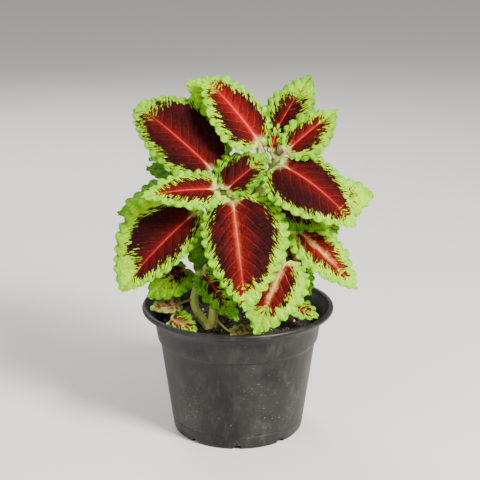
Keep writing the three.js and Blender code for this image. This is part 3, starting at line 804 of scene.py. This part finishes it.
stemBuild = {
    "steps": 90,
    "ridge": 0.16,
    "swell": 0.20,
    "swellReach": 2.2,
    "bottom": 1.06,      # thickness in the soil and how much of it is lost by the top
    "thinning": 0.18,
    "colours": {
        "base": (0.95, 0.88, 0.28, 1),
        "middle": (0.66, 0.84, 0.16, 1),
        "tip": (0.24, 0.30, 0.07, 1),
        "streak": (0.16, 0.30, 0.04, 1),
    },
}


def stemSpline(route, steps):
    points = [Vector(point) for point in route]
    ends = [2 * points[0] - points[1]] + points + [2 * points[-1] - points[-2]]
    spans = len(points) - 1
    places = []
    for i in range(steps + 1):
        run = min(i / steps * spans, spans - 1e-6)
        span, t = int(run), run - int(run)
        a, b, c, d = ends[span:span + 4]
        places.append(0.5 * (2 * b + (c - a) * t + (2 * a - 5 * b + 4 * c - d) * t * t
                             + (3 * b - a - 3 * c + d) * t * t * t))
    return places


def stemRoute():
    data = bpy.data.curves.new("stemRoute", "CURVE")
    data.dimensions = "3D"
    for branch, plan in stemPlan.items():
        joints = [leaf["node"][1] for leaf in leafPlan.values() if leaf["node"][0] == branch]
        places = stemSpline(plan["route"], stemBuild["steps"])
        spline = data.splines.new("POLY")
        spline.points.add(len(places) - 1)
        for point, place in zip(spline.points, places):
            point.co = (*(place * mm), 1)
            near = min(abs(place.z - height) for height in joints)
            swell = stemBuild["swell"] * math.exp(-(near / stemBuild["swellReach"]) ** 2)
            rise = (place.z - places[0].z) / (places[-1].z - places[0].z)
            taper = stemBuild["bottom"] - stemBuild["thinning"] * rise
            point.radius = plan["radius"] * mm * taper * (1 + swell)
    return data


def makeStemMaterial():
    material, tree, n, shader = newMaterial("coleusStem")
    look = stemBuild["colours"]
    place = n.add("ShaderNodeTexCoord", "Object")
    x, y, z = n.split(place)
    streaks = n.noise(n.join(n.times(x, 900.0), n.times(y, 900.0), n.times(z, 60.0)), 1.0, 3.0)
    clouds = n.noise(place, 90.0)
    low = n.ramp(n.plus(z, n.times(clouds, 0.02)), 0.078, 0.105, 1.0, 0.0)
    high = n.ramp(z, 0.15, 0.19)
    colour = n.blend(low, look["middle"], look["base"])
    colour = n.blend(high, colour, look["tip"])
    colour = n.blend(n.times(n.ramp(streaks, 0.5, 0.75), 0.4), colour, look["streak"])
    feed(tree, shader.inputs["Base Color"], colour)
    shader.inputs["Roughness"].default_value = 0.45
    shader.inputs["Specular IOR Level"].default_value = 0.4
    shader.inputs["Subsurface Weight"].default_value = 0.12
    shader.inputs["Subsurface Radius"].default_value = (0.0015, 0.002, 0.0006)
    addBump(tree, shader, streaks, 0.35, 0.3 * mm)
    return material


def makeStemTree():
    tree, n, given, result = newTree("coleusStem", "GeometryNodeTree", [
        ("Geometry", "Geometry", None), ("Ridge", "Float", 0.15), ("Sides", "Int", 28),
        ("Material", "Material", None)], [("Geometry", "Geometry")])
    ring = n.add("GeometryNodeCurvePrimitiveCircle", Resolution=given["Sides"], Radius=1.0)
    x, y, z = n.split(n.add("GeometryNodeInputPosition"))
    square = n.plus(1.0, n.times(n.cosine(n.times(n.maths("ARCTAN2", y, x), 4.0)), n.times(given["Ridge"], 0.5)))
    ring = n.moved(ring, Position=n.join(n.times(x, square), n.times(y, square), 0.0))
    stem = n.add("GeometryNodeCurveToMesh", Curve=given["Geometry"], Profile_Curve=ring, Fill_Caps=True,
                 Scale=n.add("GeometryNodeInputRadius"))
    place = n.add("GeometryNodeInputPosition")
    lumps = n.minus(n.noise(place, 160.0), 0.5)
    offset = n.stretch(n.add("GeometryNodeInputNormal"), n.times(lumps, 0.5 * mm))
    stem = n.moved(stem, Offset=offset)
    return finishTree(tree, n, given, result, stem)


stemMaterial = makeStemMaterial()
values = {"Ridge": stemBuild["ridge"], "Material": stemMaterial}
stem = runTree("branches", makeStemTree(), values, None, stemRoute())
keep(stem, "stem")
print("stem made")


# Buds: a few overlapping scales round each growing tip

budBuild = {
    "bud_left": {"at": (-13, -0.5, 173.5), "radius": 2.0, "height": 6.0, "scales": 7},
    "bud_right": {"at": (27, 0.5, 190.5), "radius": 2.2, "height": 7.0, "scales": 8},
    "goldenAngle": math.radians(137.5),
    "core": (0.10, 0.16, 0.03, 1),
    "purple": (0.16, 0.030, 0.070, 1),
}


def makeBudMaterial():
    material, tree, n, shader = newMaterial("coleusBud")
    patchy = n.noise(n.add("ShaderNodeTexCoord", "Object"), 700.0, 3.0)
    colour = n.blend(n.ramp(patchy, 0.40, 0.56), budBuild["core"], budBuild["purple"])
    feed(tree, shader.inputs["Base Color"], colour)
    shader.inputs["Roughness"].default_value = 0.6
    return material


def makeBudTree():
    tree, n, given, result = newTree("coleusBud", "GeometryNodeTree", [
        ("Radius", "Float", 2 * mm), ("Height", "Float", 6 * mm), ("Scales", "Int", 7), ("Turn", "Float", 2.4),
        ("Material", "Material", None)], [("Geometry", "Geometry")])
    points = n.add("GeometryNodePoints", Count=given["Scales"], Position=(0, 0, 0))
    index = n.add("GeometryNodeInputIndex")
    share = n.over(index, given["Scales"])
    turn = n.times(index, given["Turn"])
    out = n.times(given["Radius"], n.minus(0.55, n.times(share, 0.5)))
    place = n.join(n.times(n.cosine(turn), out), n.times(n.sine(turn), out),
                   n.times(given["Height"], n.plus(0.30, n.times(share, 0.25))))
    points = n.moved(points, Position=place)
    scale = n.join(n.times(given["Radius"], 0.75), n.times(given["Radius"], 0.34),
                   n.times(given["Height"], n.plus(0.30, n.times(share, 0.14))))
    leaf = n.add("GeometryNodeMeshIcoSphere", Radius=1.0, Subdivisions=4)
    turned = n.join(n.minus(0.22, n.times(share, 0.2)), 0.0, n.plus(turn, math.pi / 2))
    scales = n.add("GeometryNodeInstanceOnPoints", Points=points, Instance=leaf, Rotation=turned, Scale=scale)
    whole = n.add("GeometryNodeRealizeInstances", Geometry=scales)
    lumps = n.minus(n.noise(n.add("GeometryNodeInputPosition"), 900.0), 0.5)
    offset = n.stretch(n.add("GeometryNodeInputNormal"), n.times(lumps, 0.5 * mm))
    whole = n.moved(whole, Offset=offset)
    return finishTree(tree, n, given, result, whole)


budMaterial = makeBudMaterial()
budTree = makeBudTree()
for node in ("bud_left", "bud_right"):
    plan = budBuild[node]
    values = {"Radius": plan["radius"] * mm, "Height": plan["height"] * mm, "Scales": plan["scales"],
              "Turn": budBuild["goldenAngle"], "Material": budMaterial}
    piece = runTree(node.replace("bud_", "shoot_"), budTree, values, Matrix.Translation(Vector(plan["at"]) * mm))
    keep(piece, node)
print("buds made")


# Pot: a turned wall with a stepped collar, a rolled rim and drain slots cut through the foot

potBuild = {
    "segments": 192,
    "drains": 9,
    "drainWidth": 6.5 * mm,
    "drainHeight": 3.0 * mm,
    "drainReach": 8 * mm,
    "footRadius": 44.5 * mm,
    # radius and height in millimetres, from the middle of the underside round to the middle of the floor
    "foot": [(0, 0), (20, 0), (38, 0), (42.4, 0), (43.4, 0.15), (44.1, 0.6), (44.5, 1.3), (44.75, 2.2)],
    "wall": [(45.65, 8.4), (45.8, 8.9), (45.65, 9.2), (45.8, 9.6), (47.2, 20), (48.55, 30), (49.9, 40),
             (51.25, 50.2), (52.6, 60.5), (52.9, 63.1)],
    "step": [(53.1, 63.7), (53.7, 64.3), (54.35, 64.8), (54.75, 65.4), (54.95, 66.2)],
    "collar": [(55.4, 69.5), (55.9, 73.0), (56.4, 76.6), (56.9, 78.8), (57.9, 80.6), (59.3, 82.2), (60.8, 83.4)],
    "rim": [(61.8, 83.9), (62.8, 84.0), (63.8, 84.1), (64.5, 84.6), (64.9, 85.3), (65.0, 86.0), (64.8, 86.9),
            (64.3, 87.6), (63.5, 87.95), (62.6, 87.9), (61.9, 87.4), (61.3, 86.4), (60.6, 85.2)],
    "inside": [(59.0, 83.8), (57.4, 81.8), (56.1, 80.0), (55.3, 78.4), (54.5, 72.5), (53.7, 66.6), (53.0, 65.2),
               (51.9, 63.6), (51.2, 59), (47.7, 33), (45.1, 14), (43.4, 3.2), (42.8, 2.0), (41.6, 1.6), (20, 1.6),
               (0, 1.6)],
    "black": (0.0040, 0.0040, 0.0046, 1),
    "grey": (0.030, 0.029, 0.0285, 1),
    "dust": (0.34, 0.31, 0.28, 1),
    "cloudScale": 28.0,
    "rubScale": 130.0,
    "speckScale": 420.0,
    "dustLow": (0.010, 0.070),    # heights between which the dust thins out, in metres
    "sharpAngle": 35,
}


def latheMesh(name, outline, segments):
    mesh = bpy.data.meshes.new(name)
    shape = bmesh.new()
    rings = []
    for radius, height in outline:
        if radius == 0:
            rings.append([shape.verts.new((0, 0, height * mm))])
            continue
        angles = [2 * math.pi * i / segments for i in range(segments)]
        rings.append([shape.verts.new((radius * mm * math.cos(a), radius * mm * math.sin(a), height * mm))
                      for a in angles])
    for low, high in zip(rings, rings[1:]):
        for i in range(segments):
            j = (i + 1) % segments
            corners = [low[i % len(low)], low[j % len(low)], high[j % len(high)], high[i % len(high)]]
            shape.faces.new(list(dict.fromkeys(corners)))
    bmesh.ops.recalc_face_normals(shape, faces=shape.faces)
    shape.to_mesh(mesh)
    shape.free()
    return mesh


def makePotMaterial():
    material, tree, n, shader = newMaterial("nurseryPlastic")
    look = potBuild
    place = n.add("ShaderNodeTexCoord", "Object")
    x, y, z = n.split(place)
    clouds = n.noise(place, look["cloudScale"], 4.0, 0.6)
    rubbed = n.noise(n.join(x, y, n.times(z, 0.35)), look["rubScale"], 5.0, 0.7)
    colour = n.blend(n.times(n.ramp(clouds, 0.38, 0.70), 0.6), look["black"], look["grey"])
    colour = n.blend(n.times(n.ramp(rubbed, 0.48, 0.72), 0.8), colour, look["grey"])
    lowDown = n.ramp(z, *look["dustLow"], 1.0, 0.35)
    specks = n.ramp(n.cells(place, look["speckScale"]), 0.05, 0.16, 1.0, 0.0)
    chosen = n.ramp(n.noise(place, 150.0, 3.0, 0.7), 0.50, 0.66)
    fine = n.ramp(n.noise(place, 900.0, 2.0), 0.62, 0.72)
    film = n.ramp(n.noise(place, 45.0, 5.0, 0.75), 0.48, 0.75)
    dust = n.plus(n.times(specks, chosen), n.times(fine, n.times(film, 0.6)))
    dust = n.plus(n.times(dust, n.times(lowDown, 1.1)), n.times(film, n.times(lowDown, 0.06)))
    scratches = n.noise(n.join(n.times(x, 0.25), n.times(y, 0.25), z), 1500.0, 2.0, 0.5)
    scuffed = n.times(n.ramp(scratches, 0.66, 0.74), n.ramp(clouds, 0.5, 0.65))
    colour = n.blend(n.clip(n.times(scuffed, 0.35)), colour, look["dust"])
    colour = n.blend(n.clip(dust), colour, look["dust"])
    feed(tree, shader.inputs["Base Color"], colour)
    worn = n.plus(n.times(clouds, 0.6), n.times(rubbed, 0.4))
    feed(tree, shader.inputs["Roughness"], n.ramp(worn, 0.35, 0.65, 0.36, 0.56))
    shader.inputs["Specular IOR Level"].default_value = 0.28
    grain = n.plus(n.times(n.noise(place, 1700.0, 2.0), 0.4), n.times(n.noise(place, 60.0, 3.0), 1.0))
    grain = n.plus(grain, n.times(dust, 0.4))
    addBump(tree, shader, grain, 0.3, 0.3 * mm)
    return material


def makePotTree():
    tree, n, given, result = newTree("drainedPot", "GeometryNodeTree", [
        ("Geometry", "Geometry", None), ("Drains", "Int", 9), ("Drain Width", "Float", 6 * mm),
        ("Drain Height", "Float", 3 * mm), ("Drain Reach", "Float", 8 * mm), ("Foot Radius", "Float", 44 * mm),
        ("Material", "Material", None)], [("Geometry", "Geometry")])
    count = given["Drains"]
    points = n.add("GeometryNodePoints", Count=count, Position=(0, 0, 0))
    angle = n.minus(n.over(n.times(n.add("GeometryNodeInputIndex"), 2 * math.pi), count), math.pi / 2)
    place = n.join(n.times(n.cosine(angle), given["Foot Radius"]),
                   n.times(n.sine(angle), given["Foot Radius"]), 0.0)
    points = n.moved(points, Position=place)
    ring = n.add("GeometryNodeMeshCylinder", Vertices=24, Radius=0.5, Depth=1.0)
    x, y, z = n.split(n.add("GeometryNodeInputPosition"))
    boxy = n.join(n.times(z, given["Drain Reach"]), n.times(x, given["Drain Width"]),
                  n.times(y, n.times(given["Drain Height"], 2.0)))
    ring = n.moved(ring, Position=boxy)
    cutters = n.add("GeometryNodeInstanceOnPoints", Points=points, Instance=ring,
                    Rotation=n.join(0.0, 0.0, angle))
    cutters = n.add("GeometryNodeRealizeInstances", Geometry=cutters)
    cut = tree.nodes.new("GeometryNodeMeshBoolean")
    cut.operation = "DIFFERENCE"
    tree.links.new(given["Geometry"], cut.inputs["Mesh 1"])
    tree.links.new(cutters, cut.inputs["Mesh 2"])
    return finishTree(tree, n, given, result, cut.outputs[0], smooth=False)


def smoothByAngle(piece, degrees):
    piece.data.shade_smooth()
    piece.data.set_sharp_from_angle(angle=math.radians(degrees))


outline = [point for part in ("foot", "wall", "step", "collar", "rim", "inside") for point in potBuild[part]]
values = {"Drains": potBuild["drains"], "Drain Width": potBuild["drainWidth"],
          "Drain Height": potBuild["drainHeight"], "Drain Reach": potBuild["drainReach"],
          "Foot Radius": potBuild["footRadius"], "Material": makePotMaterial()}
pot = runTree("nurseryPot", makePotTree(), values, None, latheMesh("potWall", outline, potBuild["segments"]))
smoothByAngle(pot, potBuild["sharpAngle"])
keep(pot, "pot")
print("pot made")


# Soil: a rough dark surface with crumbs, white grains and fibres strewn over it

soilBuild = {
    "segments": 144,
    "outline": [(0, 1.9), (42.3, 1.9), (43.0, 3.4), (51.0, 60.0), (51.5, 63.4), (53.2, 66.6), (53.7, 71.0)],
    "topRings": 40,
    "edge": (53.7, 71.0),
    "crown": 1.5,
    "top": 71.6 * mm,
    "relief": 2.6 * mm,
    "crumbReach": 52.3 * mm,     # how far from the middle crumbs and fibres may lie
    "fibreReach": 47.0 * mm,
    "crumbs": {"count": 1500, "size": 1.25 * mm, "flat": 0.8, "rough": 0.9, "seed": 3},
    "chips": {"count": 150, "size": 2.0 * mm, "flat": 0.35, "rough": 0.8, "seed": 8},
    "grains": {"count": 120, "size": 1.15 * mm, "flat": 0.8, "rough": 0.7, "seed": 5},
    "fibres": {"count": 150, "length": 9 * mm, "radius": 0.16 * mm, "seed": 21},
    "black": (0.010, 0.007, 0.005, 1),
    "brown": (0.050, 0.030, 0.018, 1),
    "straw": (0.22, 0.14, 0.07, 1),
    "white": (0.78, 0.76, 0.68, 1),
    "greyWhite": (0.5, 0.48, 0.42, 1),
}


def makeSoilMaterial(name, dark, light, scale, rough):
    material, tree, n, shader = newMaterial(name)
    place = n.add("ShaderNodeTexCoord", "Object")
    mottled = n.plus(n.times(n.noise(place, scale, 4.0, 0.7), 0.7), n.times(n.noise(place, 4 * scale, 2.0), 0.3))
    feed(tree, shader.inputs["Base Color"], n.blend(n.ramp(mottled, 0.38, 0.66), dark, light))
    shader.inputs["Roughness"].default_value = rough
    addBump(tree, shader, mottled, 0.8, 0.6 * mm)
    return material


def makeSoilTree():
    tree, n, given, result = newTree("soilBed", "GeometryNodeTree", [
        ("Geometry", "Geometry", None), ("Relief", "Float", 2 * mm), ("Above", "Float", 0.07),
        ("Material", "Material", None)], [("Geometry", "Geometry")])
    place = n.add("GeometryNodeInputPosition")
    x, y, z = n.split(place)
    out = n.maths("SQRT", n.plus(n.times(x, x), n.times(y, y)))
    rough = n.plus(n.times(n.minus(n.noise(place, 60.0, 3.0, 0.6), 0.5), 1.6),
                   n.times(n.minus(n.noise(place, 380.0, 3.0, 0.7), 0.5), 0.8))
    mask = n.times(n.ramp(z, given["Above"], n.plus(given["Above"], 1.2 * mm)),
                   n.ramp(out, 52.2 * mm, 53.6 * mm, 1.0, 0.0))
    offset = n.join(0.0, 0.0, n.times(n.times(rough, given["Relief"]), mask))
    bed = n.moved(given["Geometry"], Offset=offset)
    return finishTree(tree, n, given, result, bed)


def scatterOnTop(tree, n, given, reach, spread):
    # random points on the soil's top, up to reach from the middle; the count is for a disc of radius spread
    x, y, z = n.split(n.add("GeometryNodeInputPosition"))
    out = n.maths("SQRT", n.plus(n.times(x, x), n.times(y, y)))
    top = n.times(n.maths("GREATER_THAN", z, given["Above"]), n.maths("LESS_THAN", out, reach))
    scatter = tree.nodes.new("GeometryNodeDistributePointsOnFaces")
    tree.links.new(given["Geometry"], scatter.inputs["Mesh"])
    feed(tree, scatter.inputs["Selection"], top)
    feed(tree, scatter.inputs["Density"], n.over(given["Count"], math.pi * spread ** 2))
    feed(tree, scatter.inputs["Seed"], given["Seed"])
    return scatter.outputs[0]


def makeCrumbTree():
    tree, n, given, result = newTree("soilCrumbs", "GeometryNodeTree", [
        ("Geometry", "Geometry", None), ("Count", "Int", 500), ("Size", "Float", 1 * mm), ("Flat", "Float", 0.7),
        ("Roughness", "Float", 0.6), ("Above", "Float", 0.07), ("Seed", "Int", 1), ("Material", "Material", None)],
        [("Geometry", "Geometry")])
    points = scatterOnTop(tree, n, given, soilBuild["crumbReach"], 55 * mm)
    lump = n.add("GeometryNodeMeshIcoSphere", Radius=1.0, Subdivisions=2)
    spin = n.add("FunctionNodeRandomValue", 0, {"data_type": "FLOAT_VECTOR"}, Max=(6.283, 6.283, 6.283),
                 Seed=given["Seed"])
    size = n.add("FunctionNodeRandomValue", 1, {"data_type": "FLOAT"}, Seed=n.plus(given["Seed"], 1.0))
    size = n.times(given["Size"], n.plus(0.35, n.times(n.power(size, 2.5), 0.9)))
    scale = n.join(size, n.times(size, 0.8), n.times(size, given["Flat"]))
    crumbs = n.add("GeometryNodeInstanceOnPoints", Points=points, Instance=lump, Rotation=spin, Scale=scale)
    crumbs = n.add("GeometryNodeRealizeInstances", Geometry=crumbs)
    place = n.add("GeometryNodeInputPosition")
    ragged = n.minus(n.noise(place, 1100.0, 2.0), 0.5)
    push = n.times(n.times(ragged, given["Size"]), given["Roughness"])
    offset = n.stretch(n.add("GeometryNodeInputNormal"), push)
    crumbs = n.moved(crumbs, Offset=offset)
    return finishTree(tree, n, given, result, crumbs, smooth=False)


def makeFibreTree():
    tree, n, given, result = newTree("soilFibres", "GeometryNodeTree", [
        ("Geometry", "Geometry", None), ("Count", "Int", 100), ("Length", "Float", 8 * mm),
        ("Radius", "Float", 0.2 * mm), ("Above", "Float", 0.07), ("Seed", "Int", 1),
        ("Material", "Material", None)], [("Geometry", "Geometry")])
    points = scatterOnTop(tree, n, given, soilBuild["fibreReach"], 50 * mm)
    half = n.times(given["Length"], 0.5)
    bend = n.times(given["Length"], 0.22)
    path = n.add("GeometryNodeCurvePrimitiveBezierSegment", 0, {"mode": "POSITION"}, Resolution=7,
                 Start=n.join(n.times(half, -1.0), 0.0, 0.0),
                 Start_Handle=n.join(n.times(half, -0.4), bend, 0.3 * mm),
                 End_Handle=n.join(n.times(half, 0.4), n.times(bend, -1.0), 0.5 * mm), End=n.join(half, 0.0, 0.0))
    ring = n.add("GeometryNodeCurvePrimitiveCircle", Resolution=5, Radius=1.0)
    strand = n.add("GeometryNodeCurveToMesh", Curve=path, Profile_Curve=ring, Fill_Caps=True,
                   Scale=given["Radius"])
    spin = n.add("FunctionNodeRandomValue", 0, {"data_type": "FLOAT_VECTOR"}, Min=(-0.12, -0.12, 0),
                 Max=(0.12, 0.12, 6.283), Seed=given["Seed"])
    size = n.add("FunctionNodeRandomValue", 1, {"data_type": "FLOAT"}, Seed=n.plus(given["Seed"], 1.0))
    size = n.plus(0.35, n.times(size, 0.65))
    fibres = n.add("GeometryNodeInstanceOnPoints", Points=points, Instance=strand, Rotation=spin, Scale=size)
    fibres = n.add("GeometryNodeRealizeInstances", Geometry=fibres)
    fibres = n.moved(fibres, Offset=(0, 0, 0.7 * mm))
    return finishTree(tree, n, given, result, fibres)


def soilOutline():
    radius, height = soilBuild["edge"]
    rings = soilBuild["topRings"]
    top = []
    for i in range(1, rings + 1):
        share = 1 - i / rings
        top.append((radius * share, height + 1.0 + soilBuild["crown"] * (1 - share ** 2)))
    return soilBuild["outline"] + top


soilMaterial = makeSoilMaterial("pottingSoil", soilBuild["black"], soilBuild["brown"], 260.0, 0.95)
chipMaterial = makeSoilMaterial("barkChip", soilBuild["brown"], soilBuild["straw"], 300.0, 0.85)
grainMaterial = makeSoilMaterial("perlite", soilBuild["greyWhite"], soilBuild["white"], 500.0, 0.9)
values = {"Relief": soilBuild["relief"], "Above": soilBuild["top"], "Material": soilMaterial}
soil = runTree("soilBed", makeSoilTree(), values, None,
               latheMesh("soilStart", soilOutline(), soilBuild["segments"]))
crumbTree = makeCrumbTree()
for name, material in (("crumbs", soilMaterial), ("chips", chipMaterial), ("grains", grainMaterial)):
    plan = soilBuild[name]
    values = {"Count": plan["count"], "Size": plan["size"], "Flat": plan["flat"], "Roughness": plan["rough"],
              "Above": soilBuild["top"], "Seed": plan["seed"], "Material": material}
    keep(runTree("soil_" + name, crumbTree, values, None, soil.data))
plan = soilBuild["fibres"]
values = {"Count": plan["count"], "Length": plan["length"], "Radius": plan["radius"],
          "Above": soilBuild["top"], "Seed": plan["seed"], "Material": chipMaterial}
keep(runTree("soil_fibres", makeFibreTree(), values, None, soil.data))
keep(soil, "soil")
print("soil made")


# Floor and light

surroundings = {
    "floorReach": 12.0,
    "floorColour": (0.72, 0.71, 0.69, 1),
    "lampsAim": (0, 0, 0.12),
    "worldColour": (0.84, 0.82, 0.79, 1),
    "worldStrength": 0.62,
}


def addFloor():
    mesh = bpy.data.meshes.new("floor")
    reach = surroundings["floorReach"]
    corners = [(-reach, -reach, 0), (reach, -reach, 0), (reach, reach, 0), (-reach, reach, 0)]
    mesh.from_pydata(corners, [], [(0, 1, 2, 3)])
    floor = bpy.data.objects.new("floor", mesh)
    bpy.context.collection.objects.link(floor)
    material, tree, n, shader = newMaterial("paleFloor")
    shader.inputs["Base Color"].default_value = surroundings["floorColour"]
    shader.inputs["Roughness"].default_value = 0.8
    shader.inputs["Specular IOR Level"].default_value = 0.2
    mesh.materials.append(material)


lights = {
    "key": {"from": (0.80, -0.80, 0.95), "size": 0.40, "power": 60.0, "colour": (1.0, 0.94, 0.86)},
    "fill": {"from": (-1.1, -0.7, 0.7), "size": 1.2, "power": 9.0, "colour": (1.0, 0.98, 0.95)},
    "rim": {"from": (-0.4, 1.1, 1.1), "size": 0.7, "power": 16.0, "colour": (1.0, 0.98, 0.95)},
}


def addLight(name, settings):
    data = bpy.data.lights.new(name, "AREA")
    data.energy = settings["power"]
    data.size = settings["size"]
    data.color = settings["colour"]
    lamp = bpy.data.objects.new(name, data)
    bpy.context.collection.objects.link(lamp)
    lamp.location = settings["from"]
    toAim = Vector(surroundings["lampsAim"]) - lamp.location
    lamp.rotation_euler = toAim.to_track_quat("-Z", "Y").to_euler()


addFloor()
for name, settings in lights.items():
    addLight(name, settings)

world = bpy.data.worlds.new("softWorld")
bpy.context.scene.world = world
world.use_nodes = True
sky = world.node_tree.nodes["Background"]
sky.inputs["Color"].default_value = surroundings["worldColour"]
sky.inputs["Strength"].default_value = surroundings["worldStrength"]
print("floor and lights made")
